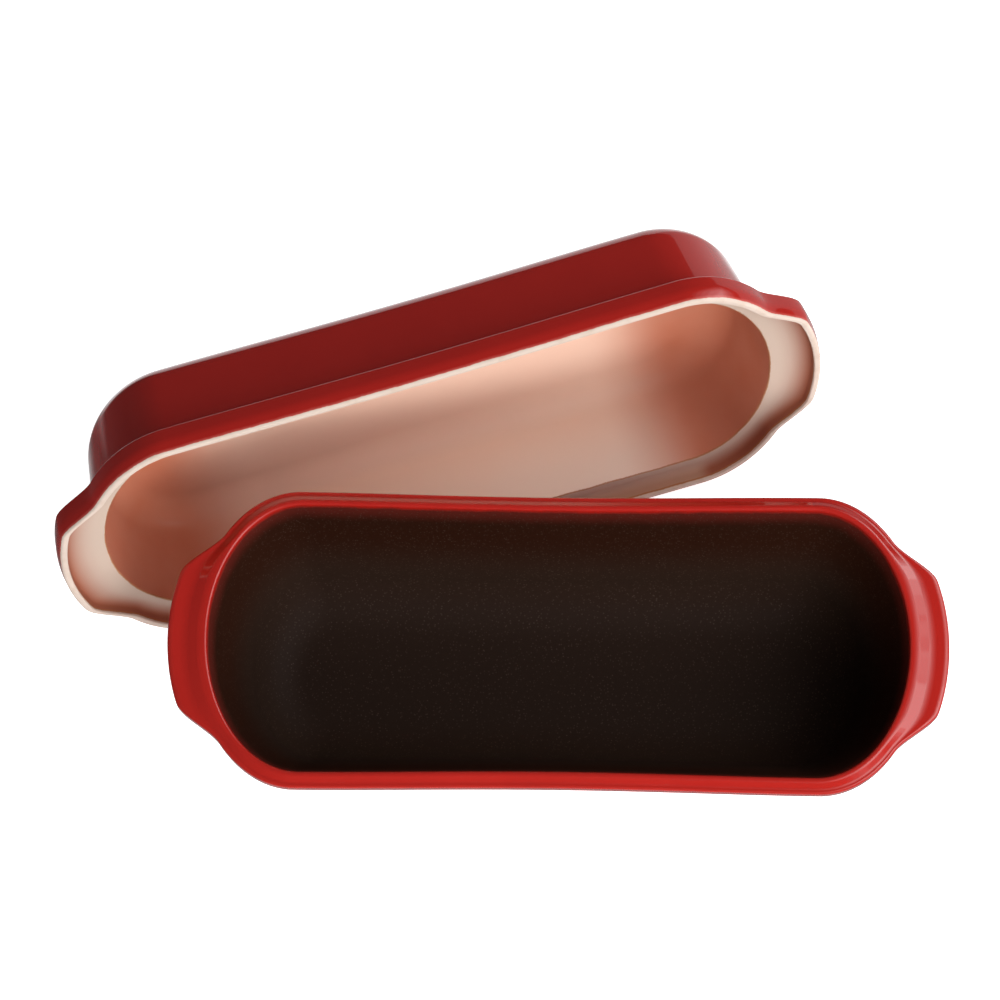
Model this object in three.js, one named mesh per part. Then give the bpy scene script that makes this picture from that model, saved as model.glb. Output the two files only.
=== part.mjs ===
// Bread loaf baker: a glazed ceramic dish and its lid, with a handle lobe at each end of both.
// The dish stands on its foot, and the lid lies on its long side behind it, with its mouth to the front.
// Millimetres, +Z up. The origin is the middle of the dish's flat foot, and +X runs along the dish.
import * as THREE from "three";

const { degToRad, mapLinear, smoothstep } = THREE.MathUtils;

// Plan of the dish's rim, which the lid follows
const DISH_LENGTH = 385; // over both handles
const DISH_WIDTH = 150; // over the rim, where the straight sides meet the round ends
const END_DEPTH = 52; // how far each round end runs past the straight sides
const SIDE_BOW = 1.5; // how far the long sides draw in at mid-length
const HANDLE_REACH = 12; // how far a handle stands out from the round end
const HANDLE_GRIP_HALF = 33; // half the width over which a handle keeps its full reach
const HANDLE_ROOT_HALF = 53; // half the width where a handle has run back into the rim

// Section of the dish
const DISH_HEIGHT = 92; // foot to the crest of the lip
const DISH_WALL = 6.2; // side wall, level across it
const DISH_FLOOR = 7;
const DISH_DRAFT = degToRad(16);
const FOOT_ROUND = 34; // outside, between the wall and the foot
const WELL_ROUND = 27; // inside, between the wall and the floor
const RIM_WIDTH = 8; // outer edge of the rim to the inside of the wall
const LIP_WIDTH = 5; // the lip stands on the inner part of the rim
const LIP_HEIGHT = 2.6; // crest of the lip above the handles
const LIP_ROUND = 1.3;
const HANDLE_THICKNESS = 8;
const EDGE_ROUND = 1.2; // small edges of both pieces
const LEAST_FLAT = 4; // least half-width of the flat foot, floor and tops

// Section of the lid, with heights from the plane of its rim
const LID_DEPTH = 66; // rim to the outside of the top
const LID_WALL = 5;
const LID_DRAFT = degToRad(8);
const LID_TOP_ROUND = 13; // outside, between the wall and the top
const CEILING_ROUND = 15; // inside, between the wall and the top
const SKIRT_WALL = 4.5;
const SKIRT_HEIGHT = 15; // rim to the shoulder, outside
const SKIRT_LEAN = 0.5; // how far the skirt's faces lean in
const SHOULDER_ROUND = 2.5;
const LEDGE_DEPTH = 8.5; // rim to the ledge that sits on the dish's lip
const LEDGE_ROUND = 3;
const LID_CLEARANCE = 1; // between the dish's rim and the inside of the skirt

// How the lid lies
const LID_YAW = degToRad(17.5); // its right end is further back
const LID_ALONG = -28; // its middle, along its own length, from the dish's middle
const LID_GAP = 0.4; // between its lower edges and the dish, level

// Facets
const END_STEPS = 30;
const SIDE_STEPS = 4;
const ROUND_STEPS = 2;
const LARGE_ROUND_STEPS = 6;

// Finishes
const GLAZE = { roughness: 0.15, metalness: 0 };
const DISH_RED = 0xa52520;
const LID_RED = 0x8f2019;

const straightHalf = DISH_LENGTH / 2 - HANDLE_REACH - END_DEPTH;
const dishHalfWidth = DISH_WIDTH / 2;
const endShape = END_DEPTH / dishHalfWidth;
const flatInset = dishHalfWidth - LEAST_FLAT;
const lidOutset = LID_CLEARANCE + SKIRT_WALL;
const lidHalfWidth = dishHalfWidth + lidOutset;

// Stations round the plan: a share of the straight part's half-length, the direction out, and the side's bow.
function planStations() {
  const stations = [];
  for (const end of [1, -1]) {
    for (let i = 0; i <= END_STEPS; i++) {
      const angle = Math.PI * (i / END_STEPS - 0.5);
      const direction = new THREE.Vector2(Math.cos(angle), Math.sin(angle)).multiplyScalar(end);
      stations.push({ share: end, direction, bow: 0, onEnd: true });
    }
    for (let i = 1; i < SIDE_STEPS; i++) {
      const share = end * (1 - (2 * i) / SIDE_STEPS);
      const direction = new THREE.Vector2(0, end);
      const bow = SIDE_BOW * (1 - share * share);
      stations.push({ share, direction, bow, onEnd: false });
    }
  }
  return stations;
}

// A handle's share of its full reach, by the distance from the plan's middle line.
function handleShare(y) {
  return 1 - smoothstep(Math.abs(y), HANDLE_GRIP_HALF, HANDLE_ROOT_HALF);
}

// Half-length of the straight part of a ring. It shortens with the inset, so that the ends keep their shape.
function straightAt(inset) {
  return straightHalf - (1 - endShape) * inset;
}

// One ring of the plan, inset from the outer edge of the dish's rim, with the handles out by reach.
function planRing({ inset, z, reach }) {
  const endDepth = endShape * (dishHalfWidth - inset);
  return planStations().map(({ share, direction, bow, onEnd }) => {
    const y = direction.y * (dishHalfWidth - inset - bow);
    const handle = onEnd ? share * reach * handleShare(y) : 0;
    return new THREE.Vector3(share * straightAt(inset) + direction.x * endDepth + handle, y, z);
  });
}

// Points along a section with rounded corners. Each corner has an inset, a height, a radius and a handle reach.
// The first and last corners only end their sides. A radius is limited to what its two sides hold, and a side
// between two rounds is shared by them.
function roundedSection(corners) {
  const points = [];
  const last = corners.length - 1;
  for (let i = 1; i < last; i++) {
    const { inset, z, round, reach = 0, steps = ROUND_STEPS } = corners[i];
    const corner = new THREE.Vector2(inset, z);
    const before = new THREE.Vector2(corners[i - 1].inset, corners[i - 1].z).sub(corner);
    const after = new THREE.Vector2(corners[i + 1].inset, corners[i + 1].z).sub(corner);
    const halfAngle = before.angleTo(after) / 2;
    const roomBefore = before.length() / (i > 1 ? 2 : 1);
    const roomAfter = after.length() / (i < last - 1 ? 2 : 1);
    const cut = Math.min(round / Math.tan(halfAngle), roomBefore, roomAfter);
    const radius = cut * Math.tan(halfAngle);
    before.normalize();
    after.normalize();
    const inward = before.clone().add(after).normalize();
    const centre = corner.clone().addScaledVector(inward, radius / Math.sin(halfAngle));
    const start = corner.clone().addScaledVector(before, cut).sub(centre);
    const end = corner.clone().addScaledVector(after, cut).sub(centre);
    const sweep = Math.atan2(start.cross(end), start.dot(end));
    for (let k = 0; k <= steps; k++) {
      const angle = start.angle() + (sweep * k) / steps;
      const point = new THREE.Vector2(Math.cos(angle), Math.sin(angle)).multiplyScalar(radius).add(centre);
      points.push({ inset: point.x, z: point.y, reach });
    }
  }
  return points;
}

// A closed body through the rings of a section, with a flat cap on its first and last ring.
function loftSection(section) {
  const rings = section.map(planRing);
  const count = rings[0].length;
  const vertices = rings.flat();
  const index = [];
  for (let i = 0; i + 1 < rings.length; i++) {
    for (let j = 0; j < count; j++) {
      const a = i * count + j;
      const b = i * count + ((j + 1) % count);
      index.push(a, b, b + count, a, b + count, a + count);
    }
  }
  const first = vertices.push(new THREE.Vector3(0, 0, section[0].z)) - 1;
  const last = vertices.push(new THREE.Vector3(0, 0, section.at(-1).z)) - 1;
  const top = (rings.length - 1) * count;
  for (let j = 0; j < count; j++) {
    const next = (j + 1) % count;
    index.push(first, next, j, top + j, top + next, last);
  }
  const geometry = new THREE.BufferGeometry().setFromPoints(vertices);
  geometry.setIndex(index);
  geometry.computeVertexNormals();
  return geometry;
}

// Inset of the inside of the dish's wall, and of the outside of the lid's, at a height.
function dishInsideInset(z) {
  return RIM_WIDTH + (DISH_HEIGHT - z) * Math.tan(DISH_DRAFT);
}

function lidOutsideInset(z) {
  return RIM_WIDTH - LID_WALL + (z - LEDGE_DEPTH) * Math.tan(LID_DRAFT);
}

// Section of the dish, from the foot up its outside, over the rim and lip, and down to the floor inside.
function dishSection() {
  const handleTop = DISH_HEIGHT - LIP_HEIGHT;
  const handleUnder = handleTop - HANDLE_THICKNESS;
  const wallTop = dishInsideInset(handleUnder) - DISH_WALL;
  const foot = dishInsideInset(0) - DISH_WALL;
  const well = dishInsideInset(DISH_FLOOR);
  const large = LARGE_ROUND_STEPS;
  return roundedSection([
    { inset: flatInset, z: 0 },
    { inset: foot, z: 0, round: FOOT_ROUND, steps: large },
    { inset: wallTop, z: handleUnder, round: EDGE_ROUND },
    { inset: 0, z: handleUnder, round: EDGE_ROUND, reach: HANDLE_REACH },
    { inset: 0, z: handleTop, round: EDGE_ROUND, reach: HANDLE_REACH },
    { inset: RIM_WIDTH - LIP_WIDTH, z: handleTop, round: EDGE_ROUND },
    { inset: RIM_WIDTH - LIP_WIDTH, z: DISH_HEIGHT, round: LIP_ROUND },
    { inset: RIM_WIDTH, z: DISH_HEIGHT, round: LIP_ROUND },
    { inset: well, z: DISH_FLOOR, round: WELL_ROUND, steps: large },
    { inset: flatInset, z: DISH_FLOOR },
  ]);
}

// Section of the lid, from the ceiling down its inside, over the ledge and rim, and up its outside.
function lidSection() {
  const ceiling = LID_DEPTH - LID_WALL;
  const ceilingInset = RIM_WIDTH + (ceiling - LEDGE_DEPTH) * Math.tan(LID_DRAFT);
  const large = LARGE_ROUND_STEPS;
  return roundedSection([
    { inset: flatInset, z: ceiling },
    { inset: ceilingInset, z: ceiling, round: CEILING_ROUND, steps: large },
    { inset: RIM_WIDTH, z: LEDGE_DEPTH, round: LEDGE_ROUND },
    { inset: SKIRT_LEAN - LID_CLEARANCE, z: LEDGE_DEPTH, round: LEDGE_ROUND, reach: HANDLE_REACH },
    { inset: -LID_CLEARANCE, z: 0, round: EDGE_ROUND, reach: HANDLE_REACH },
    { inset: -lidOutset, z: 0, round: EDGE_ROUND, reach: HANDLE_REACH },
    { inset: SKIRT_LEAN - lidOutset, z: SKIRT_HEIGHT, round: SHOULDER_ROUND, reach: HANDLE_REACH },
    { inset: lidOutsideInset(SKIRT_HEIGHT), z: SKIRT_HEIGHT, round: SHOULDER_ROUND },
    { inset: lidOutsideInset(LID_DEPTH), z: LID_DEPTH, round: LID_TOP_ROUND, steps: large },
    { inset: flatInset, z: LID_DEPTH },
  ]);
}

// Centre of the round of the lid's shoulder: how far out from the middle line, and its height from the rim.
function shoulderCentre() {
  return new THREE.Vector2(lidHalfWidth - SKIRT_LEAN - SHOULDER_ROUND, SKIRT_HEIGHT - SHOULDER_ROUND);
}

// How far the lid leans back when it lies on the round of its shoulder and the round of its top's edge.
function lidRestingLean() {
  const topCentreZ = LID_DEPTH - LID_TOP_ROUND;
  const topCentreOut = dishHalfWidth - lidOutsideInset(topCentreZ) - LID_TOP_ROUND / Math.cos(LID_DRAFT);
  const shoulder = shoulderCentre();
  const inward = shoulder.x - topCentreOut;
  const upward = topCentreZ - shoulder.y;
  const slack = (LID_TOP_ROUND - SHOULDER_ROUND) / Math.hypot(inward, upward);
  return Math.acos(slack) - Math.atan2(upward, inward);
}

// The dish's outside inset at a height on its foot's round or its wall.
function dishInsetAt(height) {
  const section = dishSection();
  const above = section.findIndex(({ z }) => z >= height);
  const [low, high] = section.slice(above - 1, above + 1);
  return mapLinear(height, low.z, high.z, low.inset, high.inset);
}

// How far the dish reaches towards the lid at a height, square to the lid's length.
function dishReach(height) {
  const inset = dishInsetAt(height);
  const halfWidth = dishHalfWidth - inset;
  const corner = Math.hypot(endShape * Math.sin(LID_YAW), Math.cos(LID_YAW)) * halfWidth;
  return straightAt(inset) * Math.sin(LID_YAW) + corner;
}

// Where the middle of the lid's rim lies, square to its length, so that the dish clears the lid's two inner edges.
function lidStandOff(lean) {
  const back = new THREE.Vector2(-Math.sin(lean), Math.cos(lean));
  const down = new THREE.Vector2(Math.cos(lean), Math.sin(lean));
  const lowest = shoulderCentre().dot(down) + SHOULDER_ROUND;
  const rimEdge = new THREE.Vector2(dishHalfWidth + LID_CLEARANCE - SIDE_BOW, 0);
  const ledgeEdge = new THREE.Vector2(dishHalfWidth - RIM_WIDTH - SIDE_BOW, LEDGE_DEPTH);
  const offsets = [rimEdge, ledgeEdge].map((edge) => dishReach(lowest - edge.dot(down)) - edge.dot(back));
  return Math.max(...offsets) + LID_GAP;
}

function makeDish() {
  const dish = new THREE.Mesh(
    loftSection(dishSection()),
    new THREE.MeshStandardMaterial({ color: DISH_RED, ...GLAZE }),
  );
  dish.name = "baking_dish";
  return dish;
}

// The lid in a group turned to its yaw. Its mouth faces forward, and its lowest point is on the foot's plane.
function makeLid() {
  const lid = new THREE.Mesh(
    loftSection(lidSection()),
    new THREE.MeshStandardMaterial({ color: LID_RED, ...GLAZE }),
  );
  lid.name = "lid";
  const lean = lidRestingLean();
  lid.rotation.x = -(Math.PI / 2 + lean);
  lid.position.set(LID_ALONG, lidStandOff(lean), 0);
  lid.position.z -= new THREE.Box3().setFromObject(lid, true).min.z;
  const turned = new THREE.Group();
  turned.rotation.z = LID_YAW;
  turned.add(lid);
  return turned;
}

const baker = new THREE.Group();
baker.add(makeDish(), makeLid());

export default baker;
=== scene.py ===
"""Looks of a bread loaf baker: a red glazed dish, dark inside, and its red lid, cream inside.

Each piece is one section carried round one plan. Shapes are worked out in millimetres, and the scene is in
metres.
"""

import math

import bpy
import numpy as np
from mathutils import Matrix, Vector


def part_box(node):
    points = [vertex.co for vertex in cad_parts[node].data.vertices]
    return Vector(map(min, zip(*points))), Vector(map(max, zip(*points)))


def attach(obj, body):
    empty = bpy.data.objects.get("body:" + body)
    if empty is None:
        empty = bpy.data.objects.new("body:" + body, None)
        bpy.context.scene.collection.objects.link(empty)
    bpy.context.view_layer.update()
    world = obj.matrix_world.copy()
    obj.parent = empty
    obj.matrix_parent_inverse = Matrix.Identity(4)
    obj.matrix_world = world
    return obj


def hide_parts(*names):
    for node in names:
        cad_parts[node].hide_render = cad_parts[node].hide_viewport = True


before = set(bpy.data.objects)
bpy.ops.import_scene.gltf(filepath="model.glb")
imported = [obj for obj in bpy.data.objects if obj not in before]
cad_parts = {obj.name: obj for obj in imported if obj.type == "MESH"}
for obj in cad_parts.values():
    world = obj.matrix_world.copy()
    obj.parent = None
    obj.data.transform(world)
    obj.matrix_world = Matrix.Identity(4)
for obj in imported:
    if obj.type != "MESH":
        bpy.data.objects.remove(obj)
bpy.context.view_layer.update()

MM = 0.001
dish_low, dish_high = (np.array(corner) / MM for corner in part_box("baking_dish"))
lid_low, lid_high = (np.array(corner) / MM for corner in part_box("lid"))

# Plan of the dish's rim, which the lid follows
DISH_LENGTH, DISH_WIDTH, DISH_HEIGHT = dish_high - dish_low
END_DEPTH = 52.0
SIDE_BOW = 1.5
HANDLE_REACH = 12.0
HANDLE_GRIP_HALF = 33.0
HANDLE_ROOT_HALF = 53.0
HALF_WIDTH = DISH_WIDTH / 2
END_SHAPE = END_DEPTH / HALF_WIDTH
STRAIGHT_HALF = DISH_LENGTH / 2 - HANDLE_REACH - END_DEPTH
LEAST_FLAT = 4.0
FLAT_INSET = HALF_WIDTH - LEAST_FLAT

# Section of the dish
DISH_WALL = 6.2
DISH_FLOOR = 7.0
DISH_DRAFT = math.tan(math.radians(16))
FOOT_ROUND = 34.0
WELL_ROUND = 27.0
RIM_WIDTH = 8.0
LIP_ROOT_INSET = 2.3
LIP_OUTER_INSET = 5.2
LIP_INNER_INSET = 7.4
LIP_HEIGHT = 2.6
LIP_OUTER_ROUND = 2.2
LIP_INNER_ROUND = 1.6
LIP_ROOT_ROUND = 2.4
LIP_ROOT_SPREAD = 0.62
LIP_FACE_SPREAD = 0.38
LIP_CREST_SPREAD = 0.20
HANDLE_THICKNESS = 8.0
HANDLE_TOP_ROUND = 1.35
HANDLE_TOP_SPREAD = 0.14
HANDLE_UNDER_ROUND = 2.4
UNDER_ROOT_ROUND = 3.0
UNDER_ROOT_SPREAD = 0.3

# Section of the lid, with heights from the plane of its rim
LID_DEPTH = 66.0
LID_WALL = 5.0
LID_DRAFT = math.tan(math.radians(8))
LID_TOP_ROUND = 13.0
CEILING_ROUND = 16.0
SKIRT_WALL = 4.4
SKIRT_HEIGHT = 15.0
SKIRT_LEAN = 0.5
SHOULDER_EDGE = 1.2
SHOULDER_ROOT = 3.0
SHOULDER_SPREAD = 0.12
LEDGE_DEPTH = 8.5
LEDGE_EDGE = 0.9
LEDGE_ROOT = 4.5
LEDGE_SPREAD = 0.45
LID_CLEARANCE = 1.0
RIM_OUTER_EDGE = 1.8
RIM_INNER_EDGE = 0.8
RIM_TAPER = 1.1
SKIRT_BULGE_HEIGHT = 6.5
SKIRT_BULGE_ROUND = 16.0
SKIRT_TAPER = 0.9

# How the lid lies
LID_YAW = math.radians(17.5)
LID_LEAN = math.radians(18.78)

# Mesh steps
END_STEPS = 168
SIDE_STEPS = 44
ARC_STEP = 0.09
LEAST_ARC_STEPS = 6
RUN_STEP = 3.5
CAP_ROWS = 14
SAME_PLACE = 1e-6


def plan_stations():
    """Stations round the plan, anticlockwise: share of the straight part, direction out, bow and end.

    Each end is a half turn of directions about an end of the straight part. Each side runs back along the
    straight part with a bow of (1 - share^2)^2, which meets the ends without a kink.
    """
    turn = np.linspace(-0.5, 0.5, END_STEPS + 1) * math.pi
    along = np.linspace(1, -1, SIDE_STEPS + 1)[1:-1]
    on_end = np.ones_like(turn)
    on_side = np.ones_like(along)
    parts = []
    for end in (1, -1):
        parts.append([end * on_end, end * np.cos(turn), end * np.sin(turn), 0 * on_end, end * on_end])
        bow = SIDE_BOW * (1 - along**2) ** 2
        parts.append([end * along, 0 * on_side, end * on_side, bow, 0 * on_side])
    return np.concatenate([np.array(part) for part in parts], axis=1)


def handle_share(y):
    """A handle's share of its full reach: 1 on the grip, falling to 0 at the root as a smooth step of |y|."""
    t = np.clip((np.abs(y) - HANDLE_GRIP_HALF) / (HANDLE_ROOT_HALF - HANDLE_GRIP_HALF), 0, 1)
    return 1 - t * t * (3 - 2 * t)


def carry_section(section):
    """Points of a piece, one row for each section point and one column for each station.

    At an inset, half width w = half width of the plan - inset, and the straight part is shortened by the
    inset times (1 - end shape), so that the round ends keep their shape. Then x = share of straight part +
    direction x end shape x w + handle reach, y = direction x (w - bow), and both are drawn to the middle by
    the section's shrink.
    """
    inset, z, reach, shrink = section.T[:, :, None]
    share, out_x, out_y, bow, end = plan_stations()
    half_width = HALF_WIDTH - inset
    straight = STRAIGHT_HALF - (1 - END_SHAPE) * inset
    y = out_y * (half_width - bow)
    x = share * straight + out_x * END_SHAPE * half_width + end * HANDLE_REACH * reach * handle_share(y)
    return np.stack([x * shrink, y * shrink, np.broadcast_to(z, x.shape)], axis=-1)


def unit(vector):
    return vector / np.linalg.norm(vector)


def rounded_section(corners):
    """Points along a section in which each corner is an arc tangent to its two sides.

    A corner is its inset, height, radius and the handle reach where its arc starts and ends. Between them the
    reach follows the arc's inset, so an arc that spreads over a handle is part of an ellipse. The first and
    last corners only end their sides.
    """
    points = []
    for before, corner, after in zip(corners[:-2], corners[1:-1], corners[2:]):
        place, radius, first_reach, last_reach = np.array(corner[:2]), *corner[2:]
        back = unit(np.array(before[:2]) - place)
        ahead = unit(np.array(after[:2]) - place)
        half_angle = math.acos(back @ ahead) / 2
        cut = radius / math.tan(half_angle)
        middle = place + unit(back + ahead) * radius / math.sin(half_angle)
        start = place + back * cut - middle
        end = place + ahead * cut - middle
        sweep = math.atan2(start[0] * end[1] - start[1] * end[0], start @ end)
        steps = max(round(abs(sweep) / ARC_STEP), LEAST_ARC_STEPS)
        angle = math.atan2(start[1], start[0]) + sweep * np.linspace(0, 1, steps + 1)
        inset = middle[0] + radius * np.cos(angle)
        z = middle[1] + radius * np.sin(angle)
        share = (inset - inset[0]) / (inset[-1] - inset[0])
        points.append(np.stack([inset, z, first_reach + (last_reach - first_reach) * share], axis=1))
    return np.vstack(points)


def fill_runs(points):
    """The section with extra points spread evenly on each run that is longer than a step."""
    runs = []
    for a, b in zip(points[:-1], points[1:]):
        count = max(round(np.linalg.norm((b - a)[:2]) / RUN_STEP), 1)
        runs.append(np.linspace(a, b, count, endpoint=False))
    return np.vstack([*runs, points[-1:]])


def close_section(points):
    """The section with a flat face at each end: rows that shrink from its end points to the middle."""
    shrink = np.linspace(0, 1, CAP_ROWS, endpoint=False)[:, None]
    first = np.hstack([np.tile(points[0], (CAP_ROWS, 1)), shrink])
    last = np.hstack([np.tile(points[-1], (CAP_ROWS, 1)), shrink[::-1]])
    body = np.hstack([points, np.ones((len(points), 1))])
    return np.vstack([first, body, last])


def section_run(section):
    """Distance along a section, in millimetres, from its first point. Its flat end faces count as points."""
    step = np.linalg.norm(np.diff(section[:, :2], axis=0), axis=1)
    return np.concatenate([[0], np.cumsum(step)])


def section_bend(section):
    """How sharply a section turns at each point, per millimetre: positive on edges, negative in hollows."""
    run = section_run(section)
    moving = np.concatenate([[True], np.diff(run) > SAME_PLACE])
    points = section[moving]
    angle = np.unwrap(np.arctan2(np.gradient(points[:, 1]), np.gradient(points[:, 0])))
    return np.interp(run, run[moving], -np.gradient(angle) / np.gradient(run[moving]))


def run_at(section, inset, z):
    """Distance along a section of its point nearest to a place."""
    return section_run(section)[np.argmin(np.hypot(section[:, 0] - inset, section[:, 1] - z))]


def make_piece(name, points, rows, body, node):
    """A closed smooth mesh through rings of points, with a pole at each end.

    Each entry of rows becomes an attribute. It has a value for each ring, or for each point of each ring.
    """
    rings, count = len(points) - 2, points.shape[1]
    vertices = np.vstack([points[0, :1], points[1:-1].reshape(-1, 3), points[-1, :1]]) * MM
    column = np.arange(count)
    beside = np.roll(column, -1)
    first_of_ring = 1 + np.arange(rings - 1)[:, None] * count
    a = first_of_ring + column
    b = first_of_ring + beside
    quads = np.stack([a, b, b + count, a + count], axis=-1).reshape(-1, 4)
    top = 1 + (rings - 1) * count
    start_pole = np.zeros(count, int)
    end_pole = np.full(count, len(vertices) - 1)
    start_fan = np.stack([start_pole, 1 + beside, 1 + column], axis=-1)
    end_fan = np.stack([top + column, top + beside, end_pole], axis=-1)
    mesh = bpy.data.meshes.new(name)
    mesh.from_pydata(vertices.tolist(), [], quads.tolist() + start_fan.tolist() + end_fan.tolist())
    mesh.polygons.foreach_set("use_smooth", np.ones(len(mesh.polygons), bool))
    for key, value in rows.items():
        spread = np.broadcast_to(value if value.ndim == 2 else value[:, None], points.shape[:2])
        per_vertex = np.concatenate([spread[0, :1], spread[1:-1].ravel(), spread[-1, :1]])
        mesh.attributes.new(key, "FLOAT", "POINT").data.foreach_set("value", per_vertex.astype(np.float32))
    mesh.update()
    piece = bpy.data.objects.new(name, mesh)
    bpy.context.scene.collection.objects.link(piece)
    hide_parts(node)
    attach(piece, body)
    return piece


def dish_section():
    """Section of the dish, from the foot up its outside, over the rim and lip, and down to the floor."""
    handle_top = DISH_HEIGHT - LIP_HEIGHT
    handle_under = handle_top - HANDLE_THICKNESS

    def inside(z):
        return RIM_WIDTH + (DISH_HEIGHT - z) * DISH_DRAFT

    return close_section(fill_runs(rounded_section([
        (FLAT_INSET, 0),
        (inside(0) - DISH_WALL, 0, FOOT_ROUND, 0, 0),
        (inside(handle_under) - DISH_WALL, handle_under, UNDER_ROOT_ROUND, 0, UNDER_ROOT_SPREAD),
        (0, handle_under, HANDLE_UNDER_ROUND, 1 - HANDLE_TOP_SPREAD, 1),
        (0, handle_top, HANDLE_TOP_ROUND, 1, 1 - HANDLE_TOP_SPREAD),
        (LIP_ROOT_INSET, handle_top, LIP_ROOT_ROUND, LIP_ROOT_SPREAD, LIP_FACE_SPREAD),
        (LIP_OUTER_INSET, DISH_HEIGHT, LIP_OUTER_ROUND, LIP_CREST_SPREAD, 0),
        (LIP_INNER_INSET, DISH_HEIGHT, LIP_INNER_ROUND, 0, 0),
        (inside(DISH_FLOOR), DISH_FLOOR, WELL_ROUND, 0, 0),
        (FLAT_INSET, DISH_FLOOR),
    ])))


def lid_section():
    """Section of the lid, from the ceiling down its inside, over the ledge and rim, and up its outside."""
    ceiling = LID_DEPTH - LID_WALL
    outset = LID_CLEARANCE + SKIRT_WALL

    def outside(z):
        return RIM_WIDTH - LID_WALL + (z - LEDGE_DEPTH) * LID_DRAFT

    return close_section(fill_runs(rounded_section([
        (FLAT_INSET, ceiling),
        (RIM_WIDTH + (ceiling - LEDGE_DEPTH) * LID_DRAFT, ceiling, CEILING_ROUND, 0, 0),
        (RIM_WIDTH, LEDGE_DEPTH, LEDGE_EDGE, 0, 0),
        (SKIRT_LEAN - LID_CLEARANCE, LEDGE_DEPTH, LEDGE_ROOT, 1 - LEDGE_SPREAD, 1),
        (-LID_CLEARANCE, 0, RIM_INNER_EDGE, 1, 1),
        (RIM_TAPER - outset, 0, RIM_OUTER_EDGE, 1, 1),
        (-outset, SKIRT_BULGE_HEIGHT, SKIRT_BULGE_ROUND, 1, 1),
        (SKIRT_TAPER - outset, SKIRT_HEIGHT, SHOULDER_EDGE, 1, 1),
        (outside(SKIRT_HEIGHT), SKIRT_HEIGHT, SHOULDER_ROOT, SHOULDER_SPREAD, 0),
        (outside(LID_DEPTH), LID_DEPTH, LID_TOP_ROUND, 0, 0),
        (FLAT_INSET, LID_DEPTH),
    ])))


def lay_lid(points):
    """The lid's points turned onto its long side, with its mouth to the front, in the box of its CAD node."""
    turn = Matrix.Rotation(LID_YAW, 3, "Z") @ Matrix.Rotation(-(math.pi / 2 + LID_LEAN), 3, "X")
    laid = points @ np.array(turn).T
    flat = laid.reshape(-1, 3)
    return laid + (lid_low + lid_high) / 2 - (flat.min(axis=0) + flat.max(axis=0)) / 2


# Node helpers

# Places of a Mix node's sockets
MIX_SHARE = 0
MIX_VALUES = (2, 3)
MIX_COLOURS = (6, 7)
MIXED_VALUE = 0
MIXED_COLOUR = 2


def new_material(name):
    """A node material, its tree and its Principled BSDF."""
    material = bpy.data.materials.new(name)
    material.use_nodes = True
    return material, material.node_tree, material.node_tree.nodes["Principled BSDF"]


def new_group(name, inputs, outputs):
    """An empty shader node group with named float inputs, and named outputs with their socket types."""
    tree = bpy.data.node_groups.new(name, "ShaderNodeTree")
    for socket in inputs:
        tree.interface.new_socket(socket, in_out="INPUT", socket_type="NodeSocketFloat")
    for socket, kind in outputs.items():
        tree.interface.new_socket(socket, in_out="OUTPUT", socket_type=kind)
    return tree, tree.nodes.new("NodeGroupInput").outputs, tree.nodes.new("NodeGroupOutput").inputs


def add(tree, kind, settings, inputs):
    """A node with its properties set and its inputs filled, each with a value or another node's output."""
    node = tree.nodes.new(kind)
    for key, value in settings.items():
        setattr(node, key, value)
    for key, value in inputs.items():
        fill(tree, node.inputs[key], value)
    return node


def fill(tree, socket, value):
    if isinstance(value, bpy.types.NodeSocket):
        tree.links.new(value, socket)
    else:
        socket.default_value = value


def noise(tree, scale, detail=2.0):
    """Smooth noise about 0.5 on the piece's own coordinates, with so many waves to the metre."""
    place = add(tree, "ShaderNodeTexCoord", {}, {}).outputs["Object"]
    return add(tree, "ShaderNodeTexNoise", {}, {"Vector": place, "Scale": scale, "Detail": detail}).outputs[0]


def cells(tree, scale):
    """Distance to the nearest of many scattered points, in cells, with so many cells to the metre."""
    place = add(tree, "ShaderNodeTexCoord", {}, {}).outputs["Object"]
    return add(tree, "ShaderNodeTexVoronoi", {}, {"Vector": place, "Scale": scale}).outputs["Distance"]


def calc(tree, operation, a, b=0.0):
    return add(tree, "ShaderNodeMath", {"operation": operation}, {0: a, 1: b}).outputs[0]


def step(tree, value, low, high, bottom=0.0, top=1.0):
    """A smooth step of a value, from bottom at low to top at high."""
    ends = {"Value": value, "From Min": low, "From Max": high, "To Min": bottom, "To Max": top}
    return add(tree, "ShaderNodeMapRange", {"interpolation_type": "SMOOTHSTEP"}, ends).outputs[0]


def blend(tree, share, a, b):
    """A colour that goes from a to b."""
    colours = [value if isinstance(value, bpy.types.NodeSocket) else (*value, 1) for value in (a, b)]
    inputs = {MIX_SHARE: share, **dict(zip(MIX_COLOURS, colours))}
    return add(tree, "ShaderNodeMix", {"data_type": "RGBA"}, inputs).outputs[MIXED_COLOUR]


def blend_value(tree, share, a, b):
    inputs = {MIX_SHARE: share, **dict(zip(MIX_VALUES, (a, b)))}
    return add(tree, "ShaderNodeMix", {"data_type": "FLOAT"}, inputs).outputs[MIXED_VALUE]


def attribute(tree, name):
    return add(tree, "ShaderNodeAttribute", {"attribute_name": name}, {}).outputs["Fac"]


def bump(tree, height, distance):
    """A normal raised by a height, at so many metres for a height of 1."""
    inputs = {"Height": height, "Distance": distance, "Strength": 1.0}
    return add(tree, "ShaderNodeBump", {}, inputs).outputs[0]


# Finishes

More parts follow.
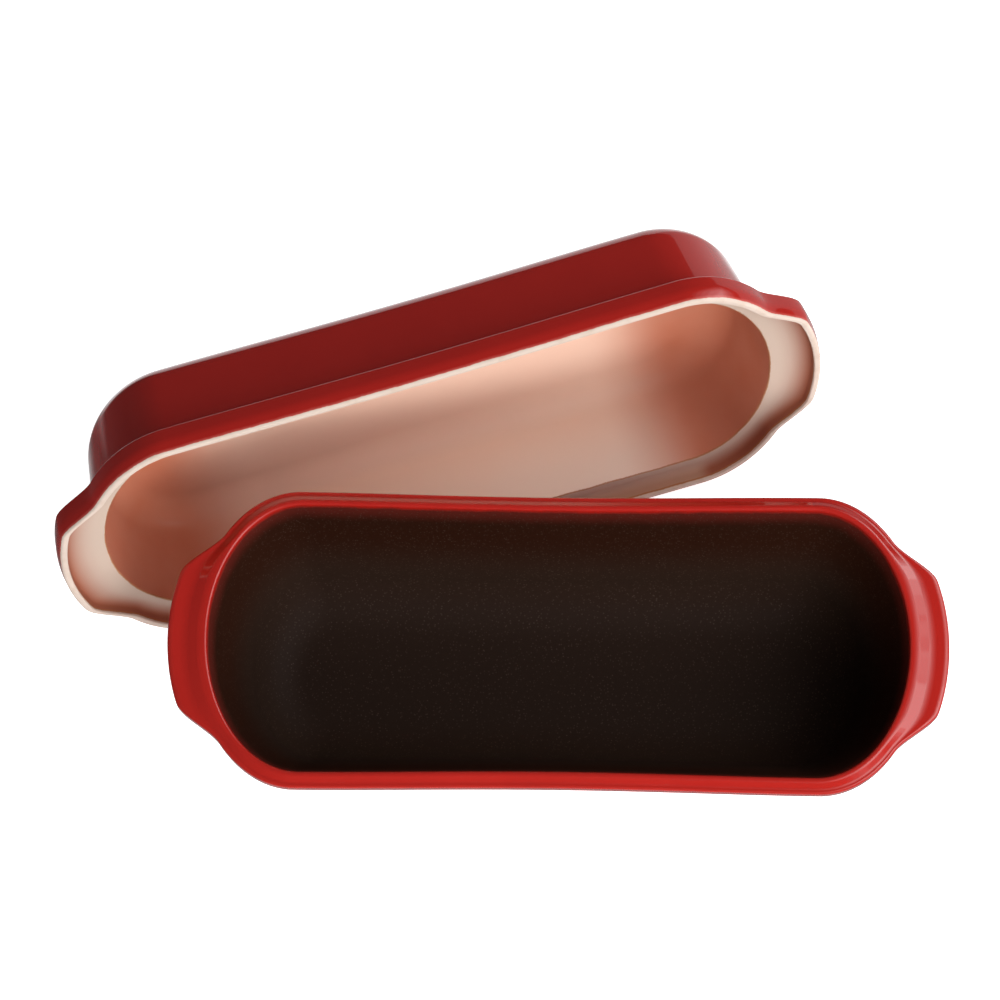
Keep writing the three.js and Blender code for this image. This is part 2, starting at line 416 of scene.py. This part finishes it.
RED = (0.365, 0.0125, 0.0082)
RED_DEEP = (0.348, 0.0114, 0.0075)
RED_THIN = (0.400, 0.0260, 0.0190)
RED_FRINGE = (0.520, 0.0880, 0.0700)
RED_POOLED = (0.270, 0.0078, 0.0055)
MAROON = (0.075, 0.0105, 0.0070)
BROWN_BLACK = (0.0200, 0.0060, 0.0030)
CHARCOAL = (0.0230, 0.0122, 0.0083)
CHARCOAL_SPECK = (0.095, 0.062, 0.046)
BARE_CLAY = (0.560, 0.460, 0.395)
BARE_STAIN = (0.480, 0.360, 0.280)
CREAM = (0.480, 0.372, 0.305)
CREAM_WALL = (0.765, 0.665, 0.580)
CREAM_DEEP = (0.790, 0.535, 0.410)
# Painted shade on the lid's ceiling, deepest in its cavity
CEILING_PAINTED_SHADE = (0.420, 0.300, 0.235)
# Painted shade in the hollow of the lid's skirt, warm brown, and darker at the round ends
SKIRT_HOLLOW_SHADE = (0.390, 0.220, 0.150)
END_SKIRT_SHADE = (0.300, 0.098, 0.056)
# Painted shade in the round ends of the lid's cavity, terracotta
END_SHADE_TERRACOTTA = (0.440, 0.118, 0.054)
TAN = (0.330, 0.140, 0.055)
GLAZE_ROUGH = (0.063, 0.126)
CHARCOAL_ROUGH = 0.55
CREAM_ROUGH = 0.42
BARE_ROUGH = 0.80
COAT_ROUGH = 0.045
GLAZE_IOR = 1.52
CREAM_COAT = 0.10
BASE_SPECULAR = 0.06
PEEL = 0.000018

# Patterns in the finishes, in waves or cells to the metre
RAGGED_WAVES = 140
MOTTLE_WAVES = 28
PEEL_WAVES = 330
SWELL_WAVES = 70
SMEAR_WAVES = 55
WANDER_WAVES = 85
NICK_WAVES = 700
SPECK_CELLS = 620
SPECK_CLUSTER_WAVES = 90
FOOT_STAIN_WAVES = 120
RIM_STAIN_WAVES = 160
CLOUD_WAVES = 22
COARSE_DETAIL = 1
FAIR_DETAIL = 3
FINE_DETAIL = 4

# Where in the noise, or in a cell, a pattern starts and is full
NOISE_MIDDLE = 0.5
MOTTLE_RANGE = (0.3, 0.7)
SMEAR_RANGE = (0.3, 0.7)
RIM_STAIN_RANGE = (0.45, 0.8)
CLOUD_RANGE = (0.3, 0.75)
SPECK_RANGE = (0.30, 0.12)

# Bends of the section, per millimetre, over which the red glaze runs thin or pools
RAGGED_BEND = 0.3
THIN_BEND = (0.55, 1.5)
POOLED_BEND = (0.05, 0.60)

# Largest shares of what is laid over a finish
THIN_SHARE = 0.4
POOLED_SHARE = 0.15
SWELL_SHARE = 2.0
SPECK_SHARE = 0.6
RIM_STAIN_SHARE = 0.6
END_SHADE_SHARE = 0.92
CLOUD_SHARE = 0.12
TAN_SHARE = 0.8
FRINGE_SHARE = 0.75

# Places on the dish's section, in millimetres from the lip's crest, and the foot's line from the flat foot
DISH_WANDER = {"Waves": 3.0, "Nicks": 1.2}
RED_FADE = (1.2, 5.0)
COAT_FADE = (1.5, 6.5)
MAROON_FADE = (4.0, 17.0)
CHARCOAL_FADE = (28.0, 72.0)
FOOT_LINE = (2.2, 1.6)

# Places on the lid's section, in millimetres from the rim's middle or edges, or from the ledge
LID_WANDER = {"Waves": 1.0, "Nicks": 0.5}
SKIRT_SHADE_FADE = (5.5, 14.5)
RED_LINE = (0.25, 0.55)
FRINGE_FADE = (2.2, 0.5)
INSIDE_LINE = (-0.1, 0.2)
TAN_LINE_PLACE = 0.6
TAN_LINE_HALF = 0.6
TAN_LINE_CORE = 0.4
LEDGE_LINE = (-0.5, 0.5)
DEPTH_FADE = (0.0, 62.0)
CEILING_SHADE_FADE = (60.0, 84.0)

# The lid's ends, by the straight part's half length and the round end's depth, and where the painted shade on
# their skirt deepens
END_START = 0.68
END_RUN = 0.95
SKIRT_END_SHADE_FADE = (0.8, 1.0)


def red_glaze_group():
    """Red glaze, thin and pale on edges, dark where it pools, a little mottled, with an orange peel."""
    tree, given, out = new_group("red_glaze", ["Bend"], {
        "Color": "NodeSocketColor", "Roughness": "NodeSocketFloat", "Height": "NodeSocketFloat",
    })
    ragged = calc(tree, "MULTIPLY", noise(tree, RAGGED_WAVES), RAGGED_BEND)
    thin = step(tree, calc(tree, "ADD", given["Bend"], ragged), *THIN_BEND, 0.0, THIN_SHARE)
    pooled = step(tree, calc(tree, "MULTIPLY", given["Bend"], -1.0), *POOLED_BEND, 0.0, POOLED_SHARE)
    mottled = step(tree, noise(tree, MOTTLE_WAVES, FINE_DETAIL), *MOTTLE_RANGE)
    colour = blend(tree, mottled, RED_DEEP, RED)
    colour = blend(tree, pooled, colour, RED_POOLED)
    colour = blend(tree, thin, colour, RED_THIN)
    swell = calc(tree, "MULTIPLY", noise(tree, SWELL_WAVES, COARSE_DETAIL), SWELL_SHARE)
    peel = calc(tree, "ADD", noise(tree, PEEL_WAVES, COARSE_DETAIL), swell)
    fill(tree, out["Color"], colour)
    fill(tree, out["Roughness"], step(tree, noise(tree, SMEAR_WAVES), *SMEAR_RANGE, *GLAZE_ROUGH))
    fill(tree, out["Height"], peel)
    return tree


def wander_group():
    """A glaze line's wander, in millimetres: slow waves and small nicks about 0."""
    tree, given, out = new_group("glaze_line_wander", ["Waves", "Nicks"], {"Offset": "NodeSocketFloat"})
    slow = calc(tree, "SUBTRACT", noise(tree, WANDER_WAVES), NOISE_MIDDLE)
    quick = calc(tree, "SUBTRACT", noise(tree, NICK_WAVES), NOISE_MIDDLE)
    waves = calc(tree, "MULTIPLY", slow, given["Waves"])
    nicks = calc(tree, "MULTIPLY", quick, given["Nicks"])
    fill(tree, out["Offset"], calc(tree, "ADD", waves, nicks))
    return tree


def use_group(tree, group, inputs):
    return add(tree, "ShaderNodeGroup", {"node_tree": group}, inputs).outputs


def finish_surface(tree, surface, colour, rough, coat, height):
    """Links what varies over a surface and sets what is the same all over it."""
    fill(tree, surface.inputs["Base Color"], colour)
    fill(tree, surface.inputs["Roughness"], rough)
    fill(tree, surface.inputs["Coat Weight"], coat)
    fill(tree, surface.inputs["Normal"], bump(tree, height, PEEL))
    surface.inputs["Specular IOR Level"].default_value = BASE_SPECULAR
    surface.inputs["Coat Roughness"].default_value = COAT_ROUGH
    surface.inputs["Coat IOR"].default_value = GLAZE_IOR


def dish_material(red_glaze, wander, outside_run):
    """Red glaze that fades over the lip to a dark charcoal inside, with a bare clay foot.

    The place on the section is its distance from the lip's crest: negative outside, positive inside.
    """
    material, tree, surface = new_material("dish_red_and_charcoal")
    glaze = use_group(tree, red_glaze, {"Bend": attribute(tree, "bend")})
    offset = use_group(tree, wander, DISH_WANDER)["Offset"]
    run = calc(tree, "ADD", attribute(tree, "from_crest"), offset)
    specks = step(tree, cells(tree, SPECK_CELLS), *SPECK_RANGE, 0.0, SPECK_SHARE)
    clusters = noise(tree, SPECK_CLUSTER_WAVES, FAIR_DETAIL)
    inside = blend(tree, step(tree, run, *MAROON_FADE), MAROON, BROWN_BLACK)
    inside = blend(tree, step(tree, run, *CHARCOAL_FADE), inside, CHARCOAL)
    inside = blend(tree, calc(tree, "MULTIPLY", specks, clusters), inside, CHARCOAL_SPECK)
    is_inside = step(tree, run, *RED_FADE)
    is_foot = step(tree, run, *(place - outside_run for place in FOOT_LINE))
    bare = blend(tree, noise(tree, FOOT_STAIN_WAVES, FINE_DETAIL), BARE_CLAY, BARE_STAIN)
    colour = blend(tree, is_inside, glaze["Color"], inside)
    colour = blend(tree, is_foot, colour, bare)
    rough = blend_value(tree, is_inside, glaze["Roughness"], CHARCOAL_ROUGH)
    rough = blend_value(tree, is_foot, rough, BARE_ROUGH)
    coat = calc(tree, "SUBTRACT", 1.0, calc(tree, "MAXIMUM", is_foot, step(tree, run, *COAT_FADE)))
    height = calc(tree, "ADD", glaze["Height"], calc(tree, "MULTIPLY", specks, is_inside))
    finish_surface(tree, surface, colour, rough, coat, height)
    return material


def line_mask(tree, run, place, half_width):
    """A thin line along the section: 1 in its core at a place, falling to 0 at half its width from there."""
    away = calc(tree, "ABSOLUTE", calc(tree, "SUBTRACT", run, place))
    return step(tree, away, half_width, half_width * TAN_LINE_CORE)


def lid_material(red_glaze, wander, ledge_run):
    """Red glaze outside, a bare clay edge on the rim, and a cream glaze inside that warms with depth, with
    painted shade on the ceiling, in the skirt and in the round ends.

    The place on the section is its distance from the middle of the rim: positive inside, negative outside.
    """
    material, tree, surface = new_material("lid_red_and_cream")
    glaze = use_group(tree, red_glaze, {"Bend": attribute(tree, "bend")})
    offset = use_group(tree, wander, LID_WANDER)["Offset"]
    straight_run = attribute(tree, "from_rim")
    run = calc(tree, "ADD", straight_run, offset)
    at_end = attribute(tree, "toward_end")
    half_rim = SKIRT_WALL / 2

    stained = step(tree, noise(tree, RIM_STAIN_WAVES, FINE_DETAIL), *RIM_STAIN_RANGE, 0.0, RIM_STAIN_SHARE)
    bare = blend(tree, stained, BARE_CLAY, BARE_STAIN)
    # The skirt's inside gets painted shade, darker at the ends, fading to cream towards the ledge
    skirt_shade_colour = blend(tree, step(tree, at_end, *SKIRT_END_SHADE_FADE), SKIRT_HOLLOW_SHADE, END_SKIRT_SHADE)
    shaded_skirt_inside = blend(tree, step(tree, straight_run, *SKIRT_SHADE_FADE), skirt_shade_colour, CREAM)
    depth = step(tree, straight_run, *(ledge_run + place for place in DEPTH_FADE))
    # The middle of the ceiling, deepest in the lid, is darkened with painted shade
    ceiling_shade_share = step(tree, straight_run, *(ledge_run + place for place in CEILING_SHADE_FADE))
    past_ledge = step(tree, run, *(ledge_run + place for place in LEDGE_LINE))
    wall = blend(tree, depth, CREAM_WALL, CREAM_DEEP)
    wall = blend(tree, ceiling_shade_share, wall, CEILING_PAINTED_SHADE)
    # The round ends of the cavity get terracotta painted shade
    wall = blend(tree, step(tree, at_end, 0.0, 1.0, 0.0, END_SHADE_SHARE), wall, END_SHADE_TERRACOTTA)
    clouds = step(tree, noise(tree, CLOUD_WAVES, FAIR_DETAIL), *CLOUD_RANGE, 0.0, CLOUD_SHARE)
    wall = blend(tree, clouds, wall, CREAM_DEEP)
    inside = blend(tree, past_ledge, shaded_skirt_inside, wall)
    for place in (half_rim + TAN_LINE_PLACE, ledge_run):
        tan = calc(tree, "MULTIPLY", line_mask(tree, run, place, TAN_LINE_HALF), TAN_SHARE)
        inside = blend(tree, tan, inside, TAN)

    is_red = step(tree, run, *(-half_rim - place for place in RED_LINE))
    is_inside = step(tree, run, *(half_rim + place for place in INSIDE_LINE))
    thinning = step(tree, run, *(-half_rim - place for place in FRINGE_FADE), 0.0, FRINGE_SHARE)
    colour = blend(tree, is_inside, bare, inside)
    colour = blend(tree, is_red, colour, blend(tree, thinning, glaze["Color"], RED_FRINGE))
    rough = blend_value(tree, is_inside, BARE_ROUGH, CREAM_ROUGH)
    rough = blend_value(tree, is_red, rough, glaze["Roughness"])
    coat = calc(tree, "MAXIMUM", is_red, calc(tree, "MULTIPLY", is_inside, CREAM_COAT))
    finish_surface(tree, surface, colour, rough, coat, glaze["Height"])
    return material


def make_dish(red_glaze, wander):
    """The dish, with the distance from its lip's crest and the bend of its section as attributes."""
    section = dish_section()
    run = section_run(section)
    crest = run[np.argmax(section[:, 1])]
    rows = {"from_crest": run - crest, "bend": section_bend(section)}
    piece = make_piece("dish_body", carry_section(section), rows, "dish", "baking_dish")
    piece.data.materials.append(dish_material(red_glaze, wander, crest))


def make_lid(red_glaze, wander):
    """The lid, with the distance from its rim, the bend of its section and how near an end is as attributes.

    The nearness rises evenly along the lid, from 0 at a share of the straight part to 1 in the round end.
    """
    section = lid_section()
    run = section_run(section)
    rim = run[section[:, 1] < SAME_PLACE].mean()
    points = carry_section(section)
    past_start = np.abs(points[:, :, 0]) - STRAIGHT_HALF * END_START
    toward_end = np.clip(past_start / (END_DEPTH * END_RUN), 0, 1)
    rows = {"from_rim": rim - run, "bend": section_bend(section), "toward_end": toward_end}
    piece = make_piece("lid_body", lay_lid(points), rows, "lid", "lid")
    ledge_run = rim - run_at(section, RIM_WIDTH, LEDGE_DEPTH)
    piece.data.materials.append(lid_material(red_glaze, wander, ledge_run))


# Stage

CAMERA_ELEVATION = math.radians(76.5)
CAMERA_DISTANCE = 2.2
CAMERA_ROLL = math.radians(0.7)
IMAGE_SIDE = 1000
DISH_SPAN_PIXELS = 783
DISH_MIDDLE_PIXELS = (558, 640)
SENSOR = 36.0
FAR_CLIP = 100
FLOOR_HALF = 6.0
FLOOR_LEVEL = -0.0002
FLOOR_GLOW = 0.92
FLOOR_GLOW_CAST = 0.45
FLOOR_SHADE = (0.8, 0.8, 0.8)
FLOOR_ROUGH = 0.9
BLACK = (0, 0, 0)
WHITE = (1, 1, 1, 1)
SWEEP_GLOW = 0.5
SWEEP_GLOW_BEHIND = 1.2
SWEEP_GLOW_LEFT = 0.08
SWEEP_GLOW_FOOT = 0.13
SWEEP_FOOT = (0.02, 0.18)
FOOT_STRAIGHT = 0.11
SWEEP_BACK = (0.13, 0.20)
SWEEP_RIGHT = (0.13, 0.09)
SWEEP_LEFT = (-0.24, -0.30)
SWEEP_FAR_LEFT = (-0.30, -0.40)
WORLD_GLOW = 0.1
BOX_LAYERS = 6
BOX_CORE = 0.3
BOX_RISE = 1.5
LAYER_GAP = 0.004
SOFT_BOXES = {
    "right_box": {"place": (1.35, -0.3, 1.55), "size": (3.4, 2.8), "power": 31.8, "mirrored": True},
    "front_box": {"place": (0.45, -1.8, 1.45), "size": (2.8, 1.6), "power": 54, "mirrored": False},
    "back_right_box": {"place": (0.52, 0.42, 0.45), "size": (0.7, 0.6), "power": 1.7, "mirrored": True},
}
BOX_AIM = (0, 0.08, 0.08)


def make_camera():
    """A camera at the photograph's viewing angle, turned to put the middle of the dish's rim in its place."""
    focal = DISH_SPAN_PIXELS / (DISH_LENGTH * MM) * CAMERA_DISTANCE
    target = Vector((0, 0, DISH_HEIGHT * MM))
    back = Vector((0, -math.cos(CAMERA_ELEVATION), math.sin(CAMERA_ELEVATION)))
    level = Vector((1, 0, 0))
    across = level * math.cos(CAMERA_ROLL) + back.cross(level) * math.sin(CAMERA_ROLL)
    up = back.cross(across)
    half = IMAGE_SIDE / 2
    right_of_dish = (half - DISH_MIDDLE_PIXELS[0]) / focal
    above_dish = (DISH_MIDDLE_PIXELS[1] - half) / focal
    axis = (back - across * right_of_dish - up * above_dish).normalized()
    across = up.cross(axis).normalized()
    turn = Matrix((across, axis.cross(across), axis)).transposed().to_4x4()
    data = bpy.data.cameras.new("camera")
    data.sensor_width = SENSOR
    data.lens = SENSOR * focal / IMAGE_SIDE
    data.clip_end = FAR_CLIP
    camera = bpy.data.objects.new("camera", data)
    camera.matrix_world = Matrix.Translation(target + back * CAMERA_DISTANCE) @ turn
    bpy.context.scene.collection.objects.link(camera)
    bpy.context.scene.camera = camera


def make_soft_box(name, place, size, power, mirrored):
    """A soft box that fades to its edge: a stack of lights, each smaller and brighter than the one behind."""
    ahead = (Vector(BOX_AIM) - Vector(place)).normalized()
    scale = np.linspace(1, BOX_CORE, BOX_LAYERS)
    share = BOX_RISE ** np.arange(BOX_LAYERS) * scale**2
    for layer in range(BOX_LAYERS):
        data = bpy.data.lights.new(name, "AREA")
        data.shape = "RECTANGLE"
        data.size, data.size_y = (side * scale[layer] for side in size)
        data.energy = power * share[layer] / share.sum()
        light = bpy.data.objects.new(name, data)
        light.location = Vector(place) + ahead * LAYER_GAP * layer
        light.rotation_mode = "QUATERNION"
        light.rotation_quaternion = ahead.to_track_quat("-Z", "Y")
        light.visible_glossy = mirrored
        bpy.context.scene.collection.objects.link(light)


def make_floor():
    """A pale floor that glows a little.

    In the glaze's reflections it is brightest behind the lid, dim at the left, and dim near the dish's foot
    with a painted shadow of the dish.
    """
    corners = [(-1, -1), (1, -1), (1, 1), (-1, 1)]
    mesh = bpy.data.meshes.new("floor")
    mesh.from_pydata([(x * FLOOR_HALF, y * FLOOR_HALF, FLOOR_LEVEL) for x, y in corners], [], [(0, 1, 2, 3)])
    floor = bpy.data.objects.new("floor", mesh)
    bpy.context.scene.collection.objects.link(floor)
    material, tree, surface = new_material("pale_floor")
    surface.inputs["Roughness"].default_value = FLOOR_ROUGH
    surface.inputs["Specular IOR Level"].default_value = 0.0
    surface.inputs["Emission Color"].default_value = WHITE
    ray = add(tree, "ShaderNodeLightPath", {}, {}).outputs
    mirrored = ray["Is Glossy Ray"]
    place = add(tree, "ShaderNodeTexCoord", {}, {}).outputs["Object"]
    across, back, _ = add(tree, "ShaderNodeSeparateXYZ", {}, {"Vector": place}).outputs
    is_back = step(tree, back, *SWEEP_BACK)
    behind = calc(tree, "MULTIPLY", is_back, step(tree, across, *SWEEP_RIGHT))
    beside = calc(tree, "MULTIPLY", calc(tree, "SUBTRACT", 1.0, is_back), step(tree, across, *SWEEP_LEFT))
    left = calc(tree, "MAXIMUM", beside, step(tree, across, *SWEEP_FAR_LEFT))
    # Near the dish's foot the reflected glow is dimmed: a painted shadow of the dish
    past_straight = calc(tree, "SUBTRACT", calc(tree, "ABSOLUTE", across), FOOT_STRAIGHT)
    past_straight = calc(tree, "MAXIMUM", past_straight, 0.0)
    from_foot = add(tree, "ShaderNodeCombineXYZ", {}, {"X": past_straight, "Y": back}).outputs[0]
    from_foot = add(tree, "ShaderNodeVectorMath", {"operation": "LENGTH"}, {0: from_foot}).outputs["Value"]
    sweep = step(tree, from_foot, *SWEEP_FOOT, SWEEP_GLOW_FOOT, SWEEP_GLOW)
    sweep = blend_value(tree, behind, sweep, SWEEP_GLOW_BEHIND)
    sweep = blend_value(tree, left, sweep, SWEEP_GLOW_LEFT)
    cast = blend_value(tree, ray["Is Diffuse Ray"], FLOOR_GLOW, FLOOR_GLOW_CAST)
    fill(tree, surface.inputs["Emission Strength"], blend_value(tree, mirrored, cast, sweep))
    fill(tree, surface.inputs["Base Color"], blend(tree, mirrored, FLOOR_SHADE, BLACK))
    mesh.materials.append(material)


def make_world():
    """A dim room, shown as white behind the floor's edge."""
    world = bpy.data.worlds.new("studio")
    bpy.context.scene.world = world
    world.use_nodes = True
    tree = world.node_tree
    tree.nodes.clear()
    dim = add(tree, "ShaderNodeBackground", {}, {"Strength": WORLD_GLOW, "Color": WHITE}).outputs[0]
    white = add(tree, "ShaderNodeBackground", {}, {"Strength": 1.0, "Color": WHITE}).outputs[0]
    seen = add(tree, "ShaderNodeLightPath", {}, {}).outputs["Is Camera Ray"]
    shown = add(tree, "ShaderNodeMixShader", {}, {0: seen, 1: dim, 2: white}).outputs[0]
    add(tree, "ShaderNodeOutputWorld", {}, {"Surface": shown})


red_glaze = red_glaze_group()
wander = wander_group()
make_dish(red_glaze, wander)
make_lid(red_glaze, wander)
make_camera()
make_floor()
make_world()
for name, box in SOFT_BOXES.items():
    make_soft_box(name, **box)
bpy.context.scene.view_settings.view_transform = "Standard"

bpy.context.view_layer.update()
